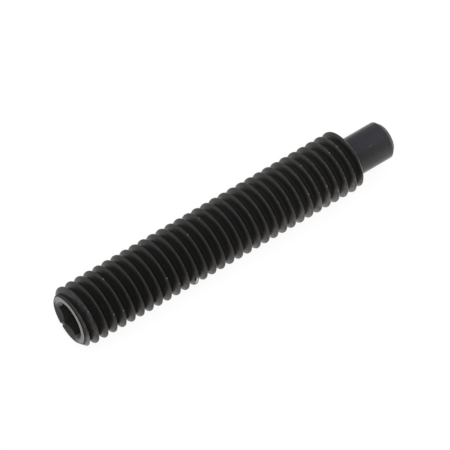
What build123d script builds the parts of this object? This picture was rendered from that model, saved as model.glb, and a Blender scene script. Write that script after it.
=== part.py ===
from build123d import *
from math import ceil, cos, radians, sin, tan
import os

# Eccentric screw: a headless set screw, turned and threaded from one bar, with a pin on its
# end that stands off the thread's axis. Turning the screw by its hexagon socket swings the pin.
# It lies on its thread crests along X, socket end at -X and pin end at +X, with the pin's
# heavy side down. The origin is under the middle of its length. Millimetres and degrees.
# Angles turn about +X, from +Y towards +Z.

# Thread: metric, coarse, one start, right hand
thread_diameter = 6.0
thread_pitch = 1.0
thread_length = 31.2  # from the socket face to the shoulder
thread_depth = 0.61  # crest to groove floor
flank_angle = 30.0  # of each flank, from square to the axis
crest_width = 0.125
groove_exit_angle = 296.7  # where the groove runs out through the socket face
spare_turns = 3  # of thread past the ends, cut off by the blank's outline

# Ends of the threaded blank
face_diameter = 4.8  # flat ring round the socket
shoulder_diameter = 5.5  # flat ring round the pin
end_slope = 45.0  # of both ends' chamfers
crest_allowance = 0.1  # the blank's outline stands this far outside the crests

# Hexagon socket
socket_flats = 3.0
socket_depth = 3.5  # of the full hexagon
socket_corner_angle = 301.7
countersink_diameter = 3.85
countersink_angle = 120.0
drill_point_angle = 120.0

# Nick where the face ring is thinnest, between a socket corner and the groove
nick_width = 0.36
nick_depth = 0.14

# Eccentric pin
pin_diameter = 3.75
pin_length = 4.6
pin_eccentricity = 0.3
pin_chamfer = 0.45
pin_base_fillet = 0.12

# Worked out from the sizes above
crest_radius = thread_diameter / 2
root_radius = crest_radius - thread_depth
flank_rise = thread_depth * tan(radians(flank_angle))
groove_centre = (thread_pitch + 2 * flank_rise + crest_width) / 2
overall_length = thread_length + pin_length
socket_face = Plane(
    origin=(-overall_length / 2, 0, crest_radius), x_dir=(0, 1, 0), z_dir=(1, 0, 0)
)
shoulder_face = socket_face.offset(thread_length)
lengthwise = Plane(origin=socket_face.origin, x_dir=(1, 0, 0), z_dir=(0, -1, 0))
screw_axis = Axis(socket_face.origin, (1, 0, 0))


# Corners of one pitch of thread as (radius, rise): up one flank, along the crest,
# down the other flank, and along the groove's floor to the next turn.
def thread_corners():
    return [
        (root_radius, 0),
        (crest_radius, flank_rise),
        (crest_radius, flank_rise + crest_width),
        (root_radius, 2 * flank_rise + crest_width),
        (root_radius, thread_pitch),
    ]


# One turn of a helix about the Z axis.
def helix_turn(radius, rise):
    return Helix(thread_pitch, thread_pitch, radius, center=(0, 0, rise)).edge()


# An end of the threaded bar: a screw-shaped floor round the axis, and the flat step
# one pitch high that its full turn leaves.
def bar_end(rise):
    axis_line = Line((0, 0, rise), (0, 0, rise + thread_pitch)).edge()
    floor = Face.make_surface_from_curves(axis_line, helix_turn(root_radius, rise))
    corners = [(radius, rise + height) for radius, height in thread_corners()]
    with BuildSketch(Plane.XZ) as step:
        with BuildLine():
            Polyline((0, rise), *corners, (0, rise + thread_pitch), close=True)
        make_face()
    return [floor, step.sketch.face()]


# A threaded bar about the Z axis. Each turn is four ruled strips between helices, which
# meet edge to edge, so the skin closes into one solid with no cut along the thread.
def threaded_bar(turns):
    skin = bar_end(0) + bar_end(turns * thread_pitch)
    for turn in range(turns):
        edges = [
            helix_turn(radius, turn * thread_pitch + rise)
            for radius, rise in thread_corners()
        ]
        for low, high in zip(edges, edges[1:]):
            skin.append(Face.make_surface_from_curves(low, high))
    return Solid(Shell(skin))


# The bar laid along X, with the middle of its groove leaving the socket face where it should.
def laid_bar():
    turns = ceil(thread_length / thread_pitch) + spare_turns
    bar_start = socket_face.rotated((groove_exit_angle, 0, 0)).offset(
        -thread_pitch - groove_centre
    )
    return bar_start.from_local_coords(threaded_bar(turns))


with BuildPart() as eccentric_screw:
    add(laid_bar())

    # Blank: both ends chamfered, and the thread cut to length
    blank_radius = crest_radius + crest_allowance
    face_radius = face_diameter / 2
    shoulder_radius = shoulder_diameter / 2
    with BuildSketch(lengthwise):
        with BuildLine():
            Polyline(
                (0, 0),
                (0, face_radius),
                ((blank_radius - face_radius) / tan(radians(end_slope)), blank_radius),
                (
                    thread_length - (blank_radius - shoulder_radius) / tan(radians(end_slope)),
                    blank_radius,
                ),
                (thread_length, shoulder_radius),
                (thread_length, 0),
                close=True,
            )
        make_face()
    revolve(axis=screw_axis, mode=Mode.INTERSECT)

    # Pin, set below the thread's axis
    with BuildSketch(shoulder_face):
        with Locations((0, -pin_eccentricity)):
            Circle(pin_diameter / 2)
    extrude(amount=pin_length)
    pin_tip = eccentric_screw.faces().sort_by(Axis.X)[-1]
    chamfer(pin_tip.edges(), length=pin_chamfer)
    pin_base = (
        eccentric_screw.edges()
        .filter_by(GeomType.CIRCLE)
        .filter_by(lambda edge: abs(edge.radius - pin_diameter / 2) < 1e-4)
        .sort_by(Axis.X)[0]
    )
    fillet(pin_base, radius=pin_base_fillet)

    # Hexagon socket, with the point that its pilot drill leaves
    with BuildSketch(socket_face):
        RegularPolygon(
            socket_flats / 2,
            side_count=6,
            major_radius=False,
            rotation=socket_corner_angle,
        )
    extrude(amount=socket_depth, mode=Mode.SUBTRACT)
    drill_radius = socket_flats / 2
    drill_point = drill_radius / tan(radians(drill_point_angle / 2))
    with BuildSketch(lengthwise):
        with BuildLine():
            Polyline(
                (socket_depth, 0),
                (socket_depth, drill_radius),
                (socket_depth + drill_point, 0),
                close=True,
            )
        make_face()
    revolve(axis=screw_axis, mode=Mode.SUBTRACT)

    # Countersink round the socket's mouth
    countersink_radius = countersink_diameter / 2
    countersink_depth = countersink_radius / tan(radians(countersink_angle / 2))
    with BuildSketch(lengthwise):
        with BuildLine():
            Polyline((0, 0), (0, countersink_radius), (countersink_depth, 0), close=True)
        make_face()
    revolve(axis=screw_axis, mode=Mode.SUBTRACT)

    # Nick across the face ring, outwards from a socket corner
    nick_turn = radians(socket_corner_angle)
    outwards = Vector(0, cos(nick_turn), sin(nick_turn))
    nick_plane = Plane(origin=socket_face.origin, x_dir=(1, 0, 0), z_dir=outwards)
    with BuildSketch(nick_plane):
        with BuildLine():
            Polyline(
                (0, -nick_width / 2), (nick_depth, 0), (0, nick_width / 2), close=True
            )
        make_face()
    extrude(amount=crest_radius, mode=Mode.SUBTRACT)

eccentric_screw.part.label = "eccentric_screw"
os.makedirs("parts", exist_ok=True)
export_step(eccentric_screw.part, "parts/eccentric_screw.step")
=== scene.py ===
import bpy
import numpy as np
from mathutils import Matrix, Vector
from types import SimpleNamespace


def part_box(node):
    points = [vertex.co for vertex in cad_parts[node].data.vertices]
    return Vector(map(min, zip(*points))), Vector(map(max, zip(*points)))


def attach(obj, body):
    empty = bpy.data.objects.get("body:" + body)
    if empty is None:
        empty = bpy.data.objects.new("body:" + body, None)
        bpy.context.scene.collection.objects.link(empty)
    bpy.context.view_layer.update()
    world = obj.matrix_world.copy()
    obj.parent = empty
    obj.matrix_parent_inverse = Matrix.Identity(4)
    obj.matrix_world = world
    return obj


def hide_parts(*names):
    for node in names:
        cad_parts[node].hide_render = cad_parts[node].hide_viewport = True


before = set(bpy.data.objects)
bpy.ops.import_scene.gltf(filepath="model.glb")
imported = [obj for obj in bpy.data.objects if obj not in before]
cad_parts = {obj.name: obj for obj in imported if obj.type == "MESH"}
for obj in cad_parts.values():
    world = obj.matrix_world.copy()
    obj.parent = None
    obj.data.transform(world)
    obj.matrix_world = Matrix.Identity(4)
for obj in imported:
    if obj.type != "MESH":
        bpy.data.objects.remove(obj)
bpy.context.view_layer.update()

mm = 0.001
nodeName = "eccentric_screw"
low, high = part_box(nodeName)
axisHeight = (low.z + high.z) / 2
overallLength = (high.x - low.x) / mm
axisStart = np.array((low.x, 0.0, axisHeight))  # where the thread's axis meets the socket's face
print("frame loaded")

# Sizes in millimetres and degrees; angles turn about +X, from +Y towards +Z
screw = {
    "crestRadius": 3.0,
    "pitch": 1.0,
    "threadLength": 31.2,  # from the socket's face to the shoulder
    "flankAngle": 30.0,  # of each flank, off square to the axis
    "flatCrest": 0.125,  # width of the crest before its corners are rounded
    "crestRounding": 0.04,
    "rootRounding": 0.148,
    "grooveExit": 296.7,  # where the groove runs out through the socket's face
    "spareTurns": (2, 3),  # before the thread and after it, so that its rows reach both ends
    "faceRadius": 2.4,
    "shoulderRadius": 2.75,
    "edgeRounding": 0.04,  # of the turned edges
    "columns": 144,  # round the screw: a multiple of 6, so that each socket corner has one
    "rootRows": 7,  # across the groove's floor, in each pitch
    "cornerRows": 3,  # down each corner of the crest
    "creaseAngle": 34.0,  # edges that bend by more than this stay sharp
}
socket = {
    "flats": 3.0,
    "depth": 3.5,  # of the full hexagon
    "corner": 301.7,
    "countersinkRadius": 1.925,
    "countersinkAngle": 120.0,
    "drillAngle": 120.0,
    "nickWidth": 0.36,
    "nickDepth": 0.14,
    "nickColumns": (0.3, 0.6, 1.0),  # added beside its middle, in shares of half its width
}
pin = {
    "radius": 1.875,
    "below": 0.3,  # how far its axis lies under the thread's
    "chamfer": 0.45,
    "baseFillet": 0.12,
    "filletRows": 6,
}

flankTurn = np.radians(screw["flankAngle"])
flankRun = np.tan(flankTurn)  # sideways, for each millimetre of a flank's height
arcTurn = np.pi / 2 - flankTurn  # of an arc from its middle to where it meets a flank
cornerStart = screw["flatCrest"] / 2 - screw["crestRounding"] * flankRun  # from a crest's middle


# Depth of the thread under its crest, from the phase of the pitch, which is whole in the middle
# of the groove: straight flanks, an arc along the groove's floor that touches both of them, and
# a flat crest with an arc down to each
def threadDepth(phase):
    fromGroove = np.abs(phase - np.round(phase)) * screw["pitch"]
    pastCorner = np.maximum(screw["pitch"] / 2 - fromGroove - cornerStart, 0)
    grooveApex = (screw["pitch"] - screw["flatCrest"]) / 2 / flankRun
    root, crest = screw["rootRounding"], screw["crestRounding"]
    rootCentre = grooveApex - root / np.sin(flankTurn)
    rootArc = rootCentre + np.sqrt(np.maximum(root**2 - fromGroove**2, 0))
    crestArc = crest - np.sqrt(np.maximum(crest**2 - pastCorner**2, 0))
    flank = grooveApex - fromGroove / flankRun
    depth = np.where(fromGroove < root * np.sin(arcTurn), rootArc, flank)
    return np.where(pastCorner < crest * np.sin(arcTurn), crestArc, depth)


# Radius of the turned blank at a distance along the thread: a cone of 45 degrees widens from
# the socket's face, another from the shoulder, and the smaller of the two counts
def blankRadius(along):
    fromFace = screw["faceRadius"] + along
    fromShoulder = screw["shoulderRadius"] + screw["threadLength"] - along
    return np.minimum(fromFace, fromShoulder)


# Phases of one pitch of thread, close together on the arcs and few on the flanks
def phaseSteps():
    root = np.sin(np.linspace(-1, 1, screw["rootRows"]) * arcTurn) * screw["rootRounding"]
    corner = np.sin(np.linspace(0, 1, screw["cornerRows"]) * arcTurn) * screw["crestRounding"]
    corner = cornerStart + corner
    crest = screw["pitch"] / 2 + np.concatenate((-corner[::-1], [0], corner))
    middle = (root[-1] + crest[0]) / 2
    return np.concatenate((root, [middle], crest, [screw["pitch"] - middle])) / screw["pitch"]


# Angles of the columns in degrees, starting at a socket corner, closer together at the nick
def columnAngles():
    even = np.linspace(0, 360, screw["columns"] + 1)
    half = np.degrees(socket["nickWidth"] / 2 / screw["faceRadius"])
    nick = np.array(socket["nickColumns"]) * half
    return socket["corner"] + np.unique(np.concatenate((even, nick, 360 - nick)))


angles = columnAngles()
turn = np.radians(angles)[None, :]  # one row, with a column for each angle


# Threaded body: rows follow the helix, radius is the smaller of thread and blank, and a row that
# would pass an end stays on its rim. A corner between thread and cone draws the nearest row to it
def threadedRows():
    before, after = screw["spareTurns"]
    turns = int(np.ceil(screw["threadLength"] / screw["pitch"])) + after
    phase = (np.arange(-before, turns)[:, None] + phaseSteps()[None, :]).ravel()[:, None]
    lead = (angles - screw["grooveExit"])[None, :] / 360
    along = np.clip((phase + lead) * screw["pitch"], 0, screw["threadLength"])

    def outline(place):
        thread = screw["crestRadius"] - threadDepth(place / screw["pitch"] - lead)
        return thread, blankRadius(place)

    thread, blank = outline(along)
    gap = thread - blank
    crossing = gap[:-1] * gap[1:] < 0
    share = np.where(crossing, gap[:-1] / np.where(crossing, gap[:-1] - gap[1:], 1), 0)
    meet = along[:-1] + share * (along[1:] - along[:-1])
    moved = along.copy()
    moved[:-1] = np.where(crossing & (share < 0.5), meet, moved[:-1])
    moved[1:] = np.where(crossing & (share >= 0.5), meet, moved[1:])
    return moved, np.minimum(*outline(moved))


# A ring of points, one for each column: a circle, or any radius given by column, square to an
# axis that lies under the thread's by a given distance
def ring(along, radius, below=0.0):
    one = np.ones_like(turn)
    return np.stack(
        (along * one, radius * np.cos(turn), radius * np.sin(turn) - below * one), axis=-1
    )


# Points (along, radius) that round a corner between two straight runs of a profile: a quadratic
# curve that leaves the first run and joins the second at the same distance from the corner
def roundedCorner(before, corner, after, steps=4):
    before, corner, after = (np.array(point, float) for point in (before, corner, after))
    size = screw["edgeRounding"]
    leaving = corner + (before - corner) / np.linalg.norm(before - corner) * size
    joining = corner + (after - corner) / np.linalg.norm(after - corner) * size
    t = np.linspace(0, 1, steps + 1)[:, None]
    return (1 - t) ** 2 * leaving + 2 * t * (1 - t) * corner + t**2 * joining


# Socket and end face, from the drill point's tip out to the rim. A hexagon wall's radius is the
# flat's distance over the cosine of the angle from the flat's middle, and its upper edge lies
# where the countersink's cone has that radius
def socketRows(rimRadius):
    coneSteps = (0.0, 0.35, 0.7, 1.0)  # shares of the drill's radius
    wallSteps = (0.66, 0.33, 0.0)  # shares of the way down a wall
    fromCorner = np.abs((angles - socket["corner"] + 30) % 60 - 30)  # from the nearest corner
    hexRadius = socket["flats"] / 2 / np.cos(np.radians(30 - fromCorner))[None, :]
    sinkRadius = socket["countersinkRadius"]
    sinkRun = np.tan(np.radians(socket["countersinkAngle"] / 2))
    mouth = (sinkRadius - hexRadius) / sinkRun
    drillRadius = socket["flats"] / 2
    drillPoint = drillRadius / np.tan(np.radians(socket["drillAngle"] / 2))
    rows = [ring(socket["depth"] + drillPoint * (1 - t), drillRadius * t) for t in coneSteps]
    rows.append(ring(socket["depth"], hexRadius))
    rows += [ring(socket["depth"] * t + mouth * (1 - t), hexRadius) for t in wallSteps]
    rows.append(ring(mouth / 2, (hexRadius + sinkRadius) / 2))
    downSink = (1.0, sinkRadius - sinkRun)
    edge = roundedCorner(downSink, (0.0, sinkRadius), (0.0, screw["faceRadius"]))
    rows += [ring(along, radius) for along, radius in edge]
    rows.append(ring(0.0, (sinkRadius + rimRadius) / 2))
    return rows


# Shoulder, pin and its chamfered end, out to the middle of the end: a profile turned about the
# pin's own axis, with a quarter circle at the pin's base
def pinRows():
    sideSteps = (0.35, 0.65)  # shares of the way along the pin
    shoulder, radius = screw["threadLength"], pin["radius"]
    pinLength = overallLength - shoulder
    t = np.linspace(0, np.pi / 2, pin["filletRows"])
    base = np.stack(
        (
            shoulder + pin["baseFillet"] * (1 - np.cos(t)),
            radius + pin["baseFillet"] * (1 - np.sin(t)),
        ),
        axis=1,
    )
    outer = (overallLength - pin["chamfer"], radius)
    inner = (overallLength, radius - pin["chamfer"])
    middle = (overallLength, 0.0)
    profile = np.concatenate(
        (
            base,
            [(shoulder + pinLength * share, radius) for share in sideSteps],
            roundedCorner(base[-1], outer, inner),
            roundedCorner(outer, inner, middle),
            [(overallLength, radius / 2), middle],
        )
    )
    return [ring(along, reach, pin["below"]) for along, reach in profile]


# All rows from pole to pole, and the nick, a valley across the face ring that is deepest in line
# with a socket corner and rises evenly with the distance from there
def screwSurface():
    along, radius = threadedRows()
    body = np.stack((along, radius * np.cos(turn), radius * np.sin(turn)), axis=-1)
    rows = socketRows(radius[:1]) + list(body[:, None]) + pinRows()
    grid = np.concatenate([row.reshape(1, -1, 3) for row in rows])
    aside = np.radians((angles - socket["corner"] + 180) % 360 - 180)[None, :]
    reach = np.hypot(grid[..., 1], grid[..., 2])
    depth = socket["nickDepth"] * (1 - np.abs(aside) * reach / (socket["nickWidth"] / 2))
    onFace = (grid[..., 0] < depth) & (reach > socket["flats"] / 2)
    grid[..., 0] = np.where(onFace, np.maximum(grid[..., 0], depth), grid[..., 0])
    return grid * mm + axisStart


# A mesh of the grid's quads, with its seam, poles and folded rows merged, and creases kept sharp
def surfaceMesh(name, grid, creaseAngle):
    mergeStep = mm * 1e-5  # points that round to the same step are one
    rows, columns = grid.shape[:2]
    corner = np.arange(rows * columns).reshape(rows, columns)
    quads = np.stack(
        (corner[:-1, :-1], corner[:-1, 1:], corner[1:, 1:], corner[1:, :-1]), axis=-1
    ).reshape(-1, 4)
    points = grid.reshape(-1, 3)
    _, first, merged = np.unique(
        np.round(points / mergeStep), axis=0, return_index=True, return_inverse=True
    )
    quads = merged.reshape(-1)[quads]
    distinct = quads != np.roll(quads, -1, axis=1)
    keep = distinct.sum(axis=1) >= 3
    quads, distinct = quads[keep], distinct[keep]
    size = distinct.sum(axis=1)
    mesh = bpy.data.meshes.new(name)
    mesh.vertices.add(first.size)
    mesh.vertices.foreach_set("co", points[first].ravel())
    mesh.loops.add(int(size.sum()))
    mesh.loops.foreach_set("vertex_index", quads[distinct])
    mesh.polygons.add(size.size)
    mesh.polygons.foreach_set("loop_start", np.concatenate(([0], np.cumsum(size)[:-1])))
    mesh.update(calc_edges=True)
    mesh.validate()
    mesh.shade_smooth()
    mesh.set_sharp_from_angle(angle=np.radians(creaseAngle))
    return mesh


# Faces of the thread and of the cones at its ends take the second material; the end faces, the
# socket and the pin keep the first
def markThread(mesh):
    fromEnds, fromAxis = 0.02, 2.2  # millimetres
    centers = np.empty(len(mesh.polygons) * 3)
    mesh.polygons.foreach_get("center", centers)
    centers = (centers.reshape(-1, 3) - axisStart) / mm
    along, reach = centers[:, 0], np.hypot(centers[:, 1], centers[:, 2])
    between = (along > fromEnds) & (along < screw["threadLength"] - fromEnds)
    thread = between & (reach > fromAxis)
    mesh.polygons.foreach_set("material_index", thread.astype(np.int32))


screwMesh = surfaceMesh("screwBody", screwSurface(), screw["creaseAngle"])
screwBody = bpy.data.objects.new("screwBody", screwMesh)
bpy.context.scene.collection.objects.link(screwBody)
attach(screwBody, "root")
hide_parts(nodeName)
print("screw surface:", len(screwMesh.vertices), "points,", len(screwMesh.polygons), "faces")


# A value in a shader: sums written in Python add the Math nodes that work them out
class Signal:
    def __init__(self, finish, outlet):
        self.finish, self.outlet = finish, outlet

    def maths(self, operation, *others):
        return self.finish.maths(operation, self, *others)

    def __add__(self, other):
        return self.maths("ADD", other)

    def __sub__(self, other):
        return self.maths("SUBTRACT", other)

    def __rsub__(self, other):
        return self.finish.maths("SUBTRACT", other, self)

    def __mul__(self, other):
        return self.maths("MULTIPLY", other)

    def __truediv__(self, other):
        return self.maths("DIVIDE", other)

    def __pow__(self, other):
        return self.maths("POWER", other)

    __radd__ = __add__
    __rmul__ = __mul__


# A material or world being put together, node by node
class Finish:
    def __init__(self, owner):
        owner.use_nodes = True
        self.owner, self.tree = owner, owner.node_tree
        self.tree.nodes.clear()

    # One node: its settings are set first, then its sockets are given values or links
    def add(self, kind, settings, sockets, output=0):
        node = self.tree.nodes.new(kind)
        for name, value in settings.items():
            setattr(node, name, value)
        for name, value in sockets.items():
            if isinstance(value, Signal):
                self.tree.links.new(value.outlet, node.inputs[name])
            else:
                node.inputs[name].default_value = value
        if isinstance(output, tuple):
            return [Signal(self, node.outputs[name]) for name in output]
        return Signal(self, node.outputs[output]) if len(node.outputs) else node

    def maths(self, operation, *values):
        return self.add("ShaderNodeMath", {"operation": operation}, dict(enumerate(values)))

    # Runs smoothly from 0 where the value is at the start to 1 where it is at the end
    def fade(self, value, start, end):
        return self.add(
            "ShaderNodeMapRange",
            {"interpolation_type": "SMOOTHSTEP"},
            {"Value": value, "From Min": start, "From Max": end},
        )

    # 1 within half the width of the middle, gone at the whole of it
    def band(self, value, middle, width):
        off = self.maths("ABSOLUTE", value - middle)
        return self.fade(off, width, width / 2)

    def split(self, vector):
        return self.add("ShaderNodeSeparateXYZ", {}, {0: vector}, (0, 1, 2))

    # Colour that goes from one to the other with the share
    def blend(self, share, first, second):
        return self.add(
            "ShaderNodeMix", {"data_type": "RGBA"}, {0: share, 6: first, 7: second}, 2
        )

    # Clouds, so many for each millimetre
    def noise(self, place, fineness, detail, roughness=0.6):
        return self.add(
            "ShaderNodeTexNoise",
            {},
            {"Vector": place, "Scale": fineness / mm, "Detail": detail, "Roughness": roughness},
        )


# A grey with its red and blue as multiples of its green
def grey(value, warm=1.0, cool=1.0):
    return (value * warm, value, value * cool, 1.0)


# Black oxide on steel: its colours, some of which paint light and shade
oxide = {
    "slate": grey(0.0065, 1.0, 1.75),  # painted shade: darker and bluer, on the upper side of the turned faces
    "olive": grey(0.0125, 0.98, 1.05),  # on the rest of them, lighter: the lit side of the same painted shading
    "thread": grey(0.0055, 1.05, 0.93),
    "shadeCoat": grey(0.0085, 1.03, 0.95),  # of what doesn't shine
    "inside": grey(0.019, 1.06, 0.9),  # of what doesn't shine: a dull coat that paints shade
    "wornAndLit": grey(0.024, 1.03, 0.97),  # worn crests, and painted light on the upper side of the thread
    "brown": grey(0.045, 1.12, 1.08),  # streaks on the first thread
    # rubbed steel, also the colour of painted highlights and of the painted reflection on the
    # lower side
    "rubbedAndLit": grey(0.13, 1.06, 0.93),
    # bare steel, also the colour of painted reflections and of the dent's painted highlight
    "bareAndLit": grey(0.42, 1.0, 1.03),
}
# Its unevenness, in clouds of three sizes
uneven = {
    "mottle": (1.4, 4.0),  # clouds for each millimetre, and their detail
    "grain": (5.0, 4.0),
    "streak": (1.6, 3.0),
    "streakShape": (4.0, 1.0, 1.0),  # squeezed along the screw, so that streaks run round it
    "patchy": (0.42, 0.62),  # cloud values between which the mottle becomes patches
    "streaky": (0.4, 0.62),
    "grainy": (0.42, 0.62),
    "roughnessSpread": 0.25,
    "bumpStrength": 0.15,
    "bumpHeight": 0.02,
    "bumpMottle": 0.5,  # share of the mottle in the bump, beside the grain
}
# Where each part of it fades in, from nothing at the first value to all at the second. These are
# distances from the thread's axis, or where the name ends in End, from the socket's face
zone = {
    "seam": 0.02,  # half the width of a border between two faces
    "crest": (2.72, 2.98),
    "groove": (2.65, 2.38),
    "socket": (1.8, 1.7),
    "face": (1.8, 1.9),
    "faceEnd": (0.03, 0.0),
    "mouth": (1.93, 1.62),  # the inner part of the countersink
    "lowMouth": (2.2, 1.75),
    "mouthEnd": (0.3, 0.2),
    "cone": (2.38, 2.42),
    "coneEnd": (0.6, 0.4),
    "firstThread": (2.35, 2.7),
    "firstThreadEnd": (2.0, 0.8),
    "rim": (2.66, 2.72),
    "rimBack": (0.08, 0.03),  # before the shoulder
    "under": (2.5, 2.8),
}
# And where it changes round the screw: distances from the axis towards an angle
side = {
    "slateAngle": 31.6,  # middle of the slate side, the painted shade of the turned faces
    "slate": (-0.8, 0.6),
    "slateWander": 4.0,  # of its border, with the mottle
    "upper": (0.0, 1.8),  # of the thread, towards the slate angle and away from it
    "under": (-1.7, -2.6),
    "chamfer": (1.2, 0.2),  # the pin's chamfer carries a painted highlight on the side away from the slate
    "lipAngle": 200.0,  # middle of the painted reflection on the first cone
    "lip": (0.85, 0.97),  # in shares of the radius, like the next two
    "lipMouth": (0.8, 0.95),
    "awayFromNick": (-0.7, -0.1),
}


# How far a point lies from the axis towards an angle about it: the sum of its two distances
# times the angle's cosine and sine
def towards(at, angle):
    return at.aside * np.cos(np.radians(angle)) + at.up * np.sin(np.radians(angle))


# A share everywhere, and the rest of it where the pattern is
def atLeast(share, pattern):
    return share + (1 - share) * pattern


# Fades in along the thread, between two shares of its length
def downThread(finish, at, start, end):
    length = screw["threadLength"]
    return finish.fade(at.along, start * length, end * length)


# Where a point of the screw lies in millimetres: along it, from its axis, from the nearest
# crest's middle and along the helix. The pitches along it less the angle's share of a turn are
# whole in the middle of the groove
def surveyScrew(finish):
    at = SimpleNamespace()
    place = finish.add("ShaderNodeTexCoord", {}, {}, "Object")
    along, aside, up = finish.split(place)
    at.along = (along - low.x) / mm
    at.aside, at.up = aside / mm, (up - axisHeight) / mm
    at.radius = (at.aside * at.aside + at.up * at.up) ** 0.5
    angle = finish.maths("ARCTAN2", at.up, at.aside)
    lead = (angle - np.radians(screw["grooveExit"])) / (2 * np.pi)
    pitches = at.along / screw["pitch"]
    phase = finish.maths("FRACT", pitches - lead)
    at.fromCrest = (phase - 0.5) * screw["pitch"]
    at.alongHelix = (pitches - phase) * (2 * np.pi * screw["crestRadius"])

    at.mottle = finish.noise(place, *uneven["mottle"])
    at.grain = finish.noise(place, *uneven["grain"])
    at.patches = finish.fade(at.mottle, *uneven["patchy"])
    squeezed = finish.add(
        "ShaderNodeVectorMath", {"operation": "MULTIPLY"}, {0: place, 1: uneven["streakShape"]}
    )
    streak = finish.noise(squeezed, *uneven["streak"])
    at.streaks = finish.fade(streak, *uneven["streaky"])

    shoulder, seam = screw["threadLength"], zone["seam"]
    at.onThread = finish.fade(at.along, shoulder + seam, shoulder - seam)
    at.groove = finish.fade(at.radius, *zone["groove"])
    at.slateward = towards(at, side["slateAngle"])
    at.lipward = towards(at, side["lipAngle"]) / at.radius
    return at


# Wear of the turned faces and the socket, and their painted highlight and shade, in shares
turnedWear = {
    "pin": 0.06,  # rubbed towards the pin's end
    "patches": 0.03,
    # a painted highlight on the pin's chamfer, and a thin one along its edge
    "chamfer": 0.35,
    "chamferEdgeHighlight": 0.4,
    "chamferEdgeWidth": 0.06,
    "chamferDull": 0.3,
    "mouthShade": 0.2,
    "lowMouthShade": 0.6,  # painted shade added below the first cone's painted reflection
}
# A scratch on the pin, in millimetres and degrees
scratch = {
    "along": 33.33,  # from the socket's face
    "aside": -0.12,  # positive towards the slate angle
    "angle": 10.0,
    "length": 0.24,
    "width": 0.05,
    "strength": 0.25,
    "heights": (0.0, 0.5),  # above the axis, between which it fades in
}


# Share of the scratch: bands across it and along it, on axes turned by its angle
def scratchShare(finish, at):
    tilt = np.radians(scratch["angle"])
    along, aside = at.along - scratch["along"], at.slateward - scratch["aside"]
    across = aside * np.cos(tilt) - along * np.sin(tilt)
    down = aside * np.sin(tilt) + along * np.cos(tilt)
    share = finish.band(across, 0.0, scratch["width"])
    share = share * finish.band(down, 0.0, scratch["length"])
    return share * finish.fade(at.up, *scratch["heights"]) * scratch["strength"]


# Colour of the turned faces and the socket, with painted shading and a painted highlight, and the
# share of them that doesn't shine, which holds painted shade
def turnedPaint(finish, at):
    chamferStart, seam = overallLength - pin["chamfer"], zone["seam"]
    lifted = at.up + pin["below"]
    fromPinAxis = (at.aside * at.aside + lifted * lifted) ** 0.5
    onChamfer = pin["radius"] + chamferStart
    chamfer = finish.fade(at.along, chamferStart - seam, chamferStart + seam)
    chamfer = chamfer * finish.fade(fromPinAxis + at.along, onChamfer - 2 * seam, onChamfer)
    # Painted highlight on the pin's chamfer and a thin one along its edge, in streaks, on the
    # side away from the slate angle
    edge = finish.band(at.along, chamferStart, turnedWear["chamferEdgeWidth"])
    chamferHighlight = chamfer * turnedWear["chamfer"] + edge * turnedWear["chamferEdgeHighlight"]
    chamferHighlight = chamferHighlight * at.streaks * finish.fade(at.slateward, *side["chamfer"])
    downPin = finish.fade(at.along, screw["threadLength"], overallLength)
    rubbedAndLit = downPin * turnedWear["pin"] + at.patches * turnedWear["patches"] + chamferHighlight

    # Painted shading: darker and bluer on the slate side, the upper side, and lighter on the
    # rest, with a border that wanders with the mottle
    border = at.slateward + (at.mottle - 0.5) * side["slateWander"]
    slate = finish.fade(border, *side["slate"])
    color = finish.blend(slate, oxide["olive"], oxide["slate"])
    color = finish.blend(rubbedAndLit, color, oxide["rubbedAndLit"])
    color = finish.blend(scratchShare(finish, at), color, oxide["rubbedAndLit"])

    # Painted shade in the inner part of the countersink, and more of it below the first cone's
    # painted reflection
    mouthEnd = finish.fade(at.along, *zone["mouthEnd"])
    mouth = mouthEnd * finish.fade(at.radius, *zone["mouth"])
    lowMouth = mouthEnd * finish.fade(at.radius, *zone["lowMouth"])
    lowMouth = lowMouth * finish.fade(at.lipward, *side["lipMouth"])
    shaded = mouth * turnedWear["mouthShade"] + lowMouth * turnedWear["lowMouthShade"]
    return color, shaded + chamfer * turnedWear["chamferDull"]


# Wear of the thread, and its painted light and shade, in shares; a Span gives the shares of its
# length between which it fades in
threadWear = {
    "crestStreaks": 0.25,
    "crestPin": 0.7,  # added towards the pin
    "crestSpan": (1 / 3, 1.0),
    "crestPlain": 0.2,  # whatever the grain
    "topLight": 0.22,  # painted light on the upper side, where light from above falls
    "glint": 0.4,  # a painted highlight: a thin broken line along the crests
    "glintLine": (0.02, 0.06),  # its distance from the crest's middle, and its width
    "glintGrain": (0.45, 0.65),
    "glintSpan": (0.5, 1.0),
    "firstThread": 0.5,
    # the painted reflection of the floor on the lower side
    "under": 0.2,
    "underStreaks": 0.6,
    "underSocket": 0.2,  # share of both that is left by the socket
    "underSpan": (0.5, 1.0),
    "lip": 0.25,
    "lipPlain": 0.6,  # whatever the streaks
    "cone": 0.02,
    "grooveShade": 0.85,
    "lessShadeByPin": 0.4,  # how much less painted shade there is by the pin
    "lessShadeSpan": (0.25, 0.8),
    "lessShadeAbove": 0.3,  # and on the upper side, where light from above falls
}
# Bright specks on the crests, in millimetres
speck = {
    "spacing": 17.0,  # along the helix
    "radius": 0.05,
    "softness": (1.3, 0.7),  # where it fades in, in radii
    "wander": 0.12,  # across the crest
    "faintest": 0.15,  # share of the bright colour in the faintest one
    "spread": 0.45,  # and how much more the brightest has
}
# A dent in a crest's side, in millimetres: a bare edge that is also its painted highlight, and a
# painted shadow on the floor beside it
dent = {
    "alongHelix": 220.7,  # from the start of the thread
    "fromCrest": -0.085,  # positive towards the pin
    "slant": 0.04,  # sideways, for each millimetre along the helix
    "length": 0.8,
    "width": 0.05,
    "floorShift": (0.2, 0.1),  # back along the helix, and towards the socket
    "floorLength": 0.4,
    "floorShadow": 0.9,
}


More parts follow.
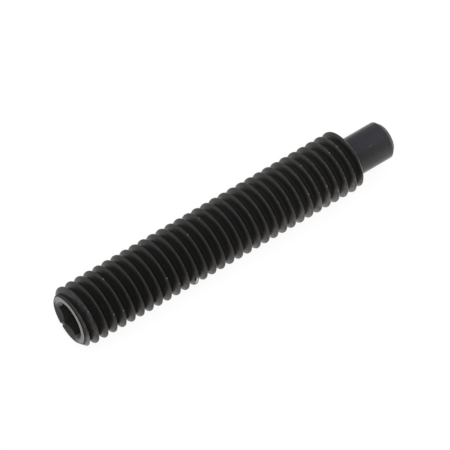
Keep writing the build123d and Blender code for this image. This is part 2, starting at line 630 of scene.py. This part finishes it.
# Share of the specks: the middles of the cells that a Voronoi pattern makes along the helix. The
# chance of each cell sets how bright its speck is and how far off the crest's middle it lies
def speckShare(finish, at):
    spacing, radius = speck["spacing"], speck["radius"]
    fromMiddle, chance = finish.add(
        "ShaderNodeTexVoronoi",
        {"voronoi_dimensions": "1D"},
        {"W": at.alongHelix, "Scale": 1 / spacing},
        ("Distance", "Color"),
    )
    outer, inner = speck["softness"]
    share = finish.fade(fromMiddle * spacing, radius * outer, radius * inner)
    middle = (chance - 0.5) * speck["wander"]
    share = share * finish.band(at.fromCrest, middle, radius * outer)
    return share * (speck["faintest"] + speck["spread"] * chance)


# Shares of the dent's edge, its painted highlight, and of its floor, its painted shadow: bands
# across and along a line that slants off the helix
def dentShares(finish, at):
    backwards, aside = dent["floorShift"]
    across = at.fromCrest + (at.alongHelix - dent["alongHelix"]) * dent["slant"]
    edge = finish.band(at.alongHelix, dent["alongHelix"], dent["length"])
    edge = edge * finish.band(across, dent["fromCrest"], dent["width"])
    bottom = finish.band(at.alongHelix, dent["alongHelix"] - backwards, dent["floorLength"])
    bottom = bottom * finish.band(across, dent["fromCrest"] - aside, dent["width"])
    return edge, bottom


# Colour of the thread with its painted light, and the share of it that doesn't shine, which is
# painted shade
def threadPaint(finish, at):
    crest = finish.fade(at.radius, *zone["crest"]) * at.onThread
    upper = finish.fade(at.slateward, *side["upper"])
    wear = threadWear["crestStreaks"] * at.streaks
    wear = wear + threadWear["crestPin"] * downThread(finish, at, *threadWear["crestSpan"])
    grainy = finish.fade(at.grain, *uneven["grainy"])
    wear = wear * crest * (threadWear["crestPlain"] + grainy)
    # Painted highlight: a thin broken line along the crests, by the pin
    glint = crest * finish.band(at.fromCrest, *threadWear["glintLine"])
    glint = glint * finish.fade(at.grain, *threadWear["glintGrain"]) * at.streaks
    glint = glint * downThread(finish, at, *threadWear["glintSpan"])
    # Worn crests, and painted light on the upper side
    color = finish.blend(wear + upper * threadWear["topLight"], oxide["thread"], oxide["wornAndLit"])
    color = finish.blend(glint * threadWear["glint"], color, oxide["rubbedAndLit"])

    first = finish.fade(at.along, *zone["firstThreadEnd"])
    first = first * finish.fade(at.radius, *zone["firstThread"]) * at.streaks
    color = finish.blend(first * threadWear["firstThread"], color, oxide["brown"])
    # Painted reflection of the bright floor on the thread's lower side, in streaks, and more of
    # it by the pin
    under = finish.fade(at.slateward, *side["under"]) * finish.fade(at.radius, *zone["under"])
    byPin = downThread(finish, at, *threadWear["underSpan"])
    under = under * atLeast(threadWear["underSocket"], byPin)
    under = under * (threadWear["under"] + threadWear["underStreaks"] * at.streaks)
    color = finish.blend(under, color, oxide["rubbedAndLit"])

    # Painted reflection on the first cone, towards the lip angle, in streaks
    cone = finish.fade(at.along, *zone["coneEnd"]) * finish.fade(at.radius, *zone["cone"])
    lip = cone * finish.fade(at.lipward, *side["lip"])
    lip = lip * atLeast(threadWear["lipPlain"], at.streaks)
    lip = lip * threadWear["lip"] + cone * threadWear["cone"]
    color = finish.blend(lip, color, oxide["bareAndLit"])
    color = finish.blend(speckShare(finish, at) * crest, color, oxide["bareAndLit"])
    dentEdge, dentShadow = dentShares(finish, at)
    color = finish.blend(dentEdge, color, oxide["bareAndLit"])

    # Painted shade in the groove, less of it by the pin and on the upper side, and the painted
    # shadow on the dent's floor
    lessShade = downThread(finish, at, *threadWear["lessShadeSpan"]) * threadWear["lessShadeByPin"]
    lessShade = lessShade + upper * threadWear["lessShadeAbove"]
    shaded = at.groove * (threadWear["grooveShade"] - lessShade)
    return color, finish.maths("MAXIMUM", shaded, dentShadow * dent["floorShadow"])


# How it shines on the thread, and on the turned faces
threadLook = {
    "specular": 0.28,
    "tint": grey(1.0, 1.02, 0.96),
    "roughness": 0.4,
    "grooveRoughness": 0.35,  # added in the groove
}
turnedLook = {
    "specular": 0.33,
    "tint": grey(1.0, 1.0, 1.03),
    "roughness": 0.32,
    "grooveRoughness": 0.0,
}
# The face ring, painted bright as a reflection of the lit floor except beside the nick, and the
# shoulder's rim
ringSheenAndRim = {
    "share": 0.25,
    "patches": 0.1,
    "metal": 0.3,
    "dull": 0.4,  # roughness added where it isn't painted bright
    "rimPlain": 0.15,  # of the shoulder's rim, whatever the streaks
}


# Black oxide: the colour and painted shade that paint gives, with the face ring's painted
# reflection and the shoulder's rim, a fine bump, and a dull coat over the share that doesn't
# shine
def oxideFinish(name, look, paint):
    finish = Finish(bpy.data.materials.new(name))
    at = surveyScrew(finish)
    color, shaded = paint(finish, at)
    onFace = finish.fade(at.along, *zone["faceEnd"]) * finish.fade(at.radius, *zone["face"])
    # Painted reflection on the face ring: bright and metallic away from the nick, where it sees
    # the lit floor, and rougher beside the nick, where it sees the floor's shadow
    awayFromNick = towards(at, socket["corner"] + 180) / at.radius
    ringSheen = onFace * finish.fade(awayFromNick, *side["awayFromNick"])
    far, near = zone["rimBack"]
    rim = finish.fade(at.along, screw["threadLength"] - far, screw["threadLength"] - near)
    rim = rim * finish.fade(at.radius, *zone["rim"])
    rim = rim * atLeast(ringSheenAndRim["rimPlain"], at.streaks)
    inSocket = finish.fade(at.radius, *zone["socket"]) * at.onThread
    color = finish.blend(inSocket, color, oxide["inside"])
    color = finish.blend(rim, color, oxide["rubbedAndLit"])
    ringSheenShare = ringSheen * (ringSheenAndRim["share"] + ringSheenAndRim["patches"] * at.patches)
    color = finish.blend(ringSheenShare, color, oxide["bareAndLit"])
    bump = finish.add(
        "ShaderNodeBump",
        {},
        {
            "Strength": uneven["bumpStrength"],
            "Distance": uneven["bumpHeight"] * mm,
            "Height": at.grain + at.mottle * uneven["bumpMottle"],
        },
    )
    roughness = look["roughness"] + (at.mottle - 0.5) * uneven["roughnessSpread"]
    roughness = roughness + at.groove * look["grooveRoughness"]
    shader = finish.add(
        "ShaderNodeBsdfPrincipled",
        {},
        {
            "Base Color": color,
            "Roughness": roughness + (onFace - ringSheen) * ringSheenAndRim["dull"],
            "Metallic": ringSheen * ringSheenAndRim["metal"],
            "Normal": bump,
            "Specular IOR Level": look["specular"],
            "Specular Tint": look["tint"],
        },
    )
    shadeCoat = finish.add("ShaderNodeBsdfDiffuse", {}, {"Color": oxide["shadeCoat"]})
    shader = finish.add("ShaderNodeMixShader", {}, {0: shaded, 1: shader, 2: shadeCoat})
    finish.add("ShaderNodeOutputMaterial", {}, {"Surface": shader})
    return finish.owner


screwMesh.materials.append(oxideFinish("turnedOxide", turnedLook, turnedPaint))
screwMesh.materials.append(oxideFinish("threadOxide", threadLook, threadPaint))
markThread(screwMesh)
print("finish made")

# Floor and surroundings. Pairs are where one thing fades into another: on the floor in metres,
# and round about in parts of a direction
studio = {
    "floorHalf": 3.0,  # metres
    "floorColor": grey(0.9),
    "glow": 0.85,  # share of the floor's white that no shadow takes away
    "white": grey(1.05),  # of the floor, to the camera
    "mirroredFloor": grey(1.2, 1.02, 0.985),  # what reflections see of it
    "mirroredFront": 0.95,  # their share, before the screw and behind it
    "mirroredBack": 0.6,
    "floorBehind": (-0.01, 0.01),
    "mirroredPinEnd": 0.5,  # more of it under the pin's end
    "floorPinEnd": (-0.005, 0.015),
    "fill": 0.6,  # light on the screw from all round
    "behind": (-0.3, 0.6),
    "overhead": (0.0, 0.4),
    "left": (-0.2, -0.9),
    "low": (0.8, 0.2),
    "horizonFront": 0.66,  # what reflections see round about
    "horizonBack": 0.34,
    "leftBehind": 1.3,  # added low on the socket's side, behind
    "ceilingFront": 0.64,
    "ceilingBack": 0.95,
    "ceilingColor": grey(1.0, 0.975, 1.05),
}


# Shares of the rays that see the studio itself: straight from the camera, and mirrored or
# passed on
def seenRays(finish):
    wanted = ("Is Camera Ray", "Is Glossy Ray", "Is Transmission Ray")
    direct, mirrored, passed = finish.add("ShaderNodeLightPath", {}, {}, wanted)
    return direct, finish.maths("MINIMUM", mirrored + passed, 1.0)


# A plain pale floor that keeps the shadows, and glows in part for the camera and in reflections
def floorFinish():
    finish = Finish(bpy.data.materials.new("paleFloor"))
    direct, mirrored = seenRays(finish)
    along, across, _ = finish.split(finish.add("ShaderNodeTexCoord", {}, {}, "Object"))
    plain = finish.add("ShaderNodeBsdfDiffuse", {}, {"Color": studio["floorColor"]})
    shade = finish.blend(mirrored, studio["white"], studio["mirroredFloor"])
    glow = finish.add("ShaderNodeEmission", {}, {"Color": shade, "Strength": 1.0})
    step = studio["mirroredBack"] - studio["mirroredFront"]
    seen = studio["mirroredFront"] + finish.fade(across, *studio["floorBehind"]) * step
    pinEnd = finish.fade(along, *studio["floorPinEnd"])
    seen = seen * (1 + pinEnd * studio["mirroredPinEnd"])
    share = direct * studio["glow"] + mirrored * seen
    shader = finish.add("ShaderNodeMixShader", {}, {0: share, 1: plain, 2: glow})
    finish.add("ShaderNodeOutputMaterial", {}, {"Surface": shader})
    return finish.owner


# Reflections see a studio brighter at eye level in front than behind, and the other way overhead;
# the camera sees white, and the rest is plain fill light
def studioWorld():
    finish = Finish(bpy.data.worlds.new("studio"))
    direct, mirrored = seenRays(finish)
    along, across, up = finish.split(finish.add("ShaderNodeTexCoord", {}, {}, "Generated"))
    behind = finish.fade(across, *studio["behind"])
    overhead = finish.fade(up, *studio["overhead"])
    left = finish.fade(along, *studio["left"]) * finish.fade(up, *studio["low"])
    horizon = studio["horizonFront"] + behind * (studio["horizonBack"] - studio["horizonFront"])
    ceiling = studio["ceilingFront"] + behind * (studio["ceilingBack"] - studio["ceilingFront"])
    seen = horizon + overhead * (ceiling - horizon) + behind * left * studio["leftBehind"]
    strength = (1.0 - direct - mirrored) * studio["fill"] + mirrored * seen + direct
    color = finish.blend(mirrored * overhead, grey(1.0), studio["ceilingColor"])
    shader = finish.add("ShaderNodeBackground", {}, {"Color": color, "Strength": strength})
    finish.add("ShaderNodeOutputWorld", {}, {"Surface": shader})
    return finish.owner


half = studio["floorHalf"]
floorMesh = bpy.data.meshes.new("floor")
floorMesh.from_pydata(
    [(-half, -half, 0), (half, -half, 0), (half, half, 0), (-half, half, 0)], [], [(0, 1, 2, 3)]
)
floorMesh.materials.append(floorFinish())
floor = bpy.data.objects.new("floor", floorMesh)
bpy.context.scene.collection.objects.link(floor)
bpy.context.scene.world = studioWorld()

# Soft boxes: place in metres, width in metres, watts; each faces the screw
lamps = {
    "frontSoftBox": {"place": (-0.30, -0.40, 0.52), "width": 0.90, "power": 4.2},
    "topSoftBox": {"place": (0.25, -0.05, 0.55), "width": 0.50, "power": 0.3},
}
for name, lamp in lamps.items():
    light = bpy.data.lights.new(name, "AREA")
    light.shape, light.size, light.energy = "SQUARE", lamp["width"], lamp["power"]
    holder = bpy.data.objects.new(name, light)
    holder.location = lamp["place"]
    holder.rotation_euler = (-Vector(lamp["place"])).to_track_quat("-Z", "Y").to_euler()
    bpy.context.scene.collection.objects.link(holder)
print("studio lit")

# Camera: turned about the screw's middle, then shifted aside and up as it stands, in
# millimetres and degrees
view = {
    "azimuth": -36.292,
    "elevation": 52.616,
    "lens": 312.733,
    "aside": -0.419,
    "above": 0.130,
    "distance": 356.735,
    "clip": (0.01, 10.0),  # in metres
}
around, lift = np.radians(view["azimuth"]), np.radians(view["elevation"])
back = Vector((np.sin(around) * np.cos(lift), -np.cos(around) * np.cos(lift), np.sin(lift)))
right = Vector((np.cos(around), np.sin(around), 0.0))
above = back.cross(right)
camera = bpy.data.objects.new("camera", bpy.data.cameras.new("camera"))
camera.data.lens = view["lens"]
camera.data.clip_start, camera.data.clip_end = view["clip"]
stand = right * view["aside"] + above * view["above"] + back * view["distance"]
standPoint = Vector((0, 0, axisHeight)) + stand * mm
facing = Matrix((right, above, back)).transposed().to_4x4()
camera.matrix_world = Matrix.Translation(standPoint) @ facing
bpy.context.scene.collection.objects.link(camera)
bpy.context.scene.camera = camera
bpy.context.scene.view_settings.view_transform = "Standard"
print("camera placed")
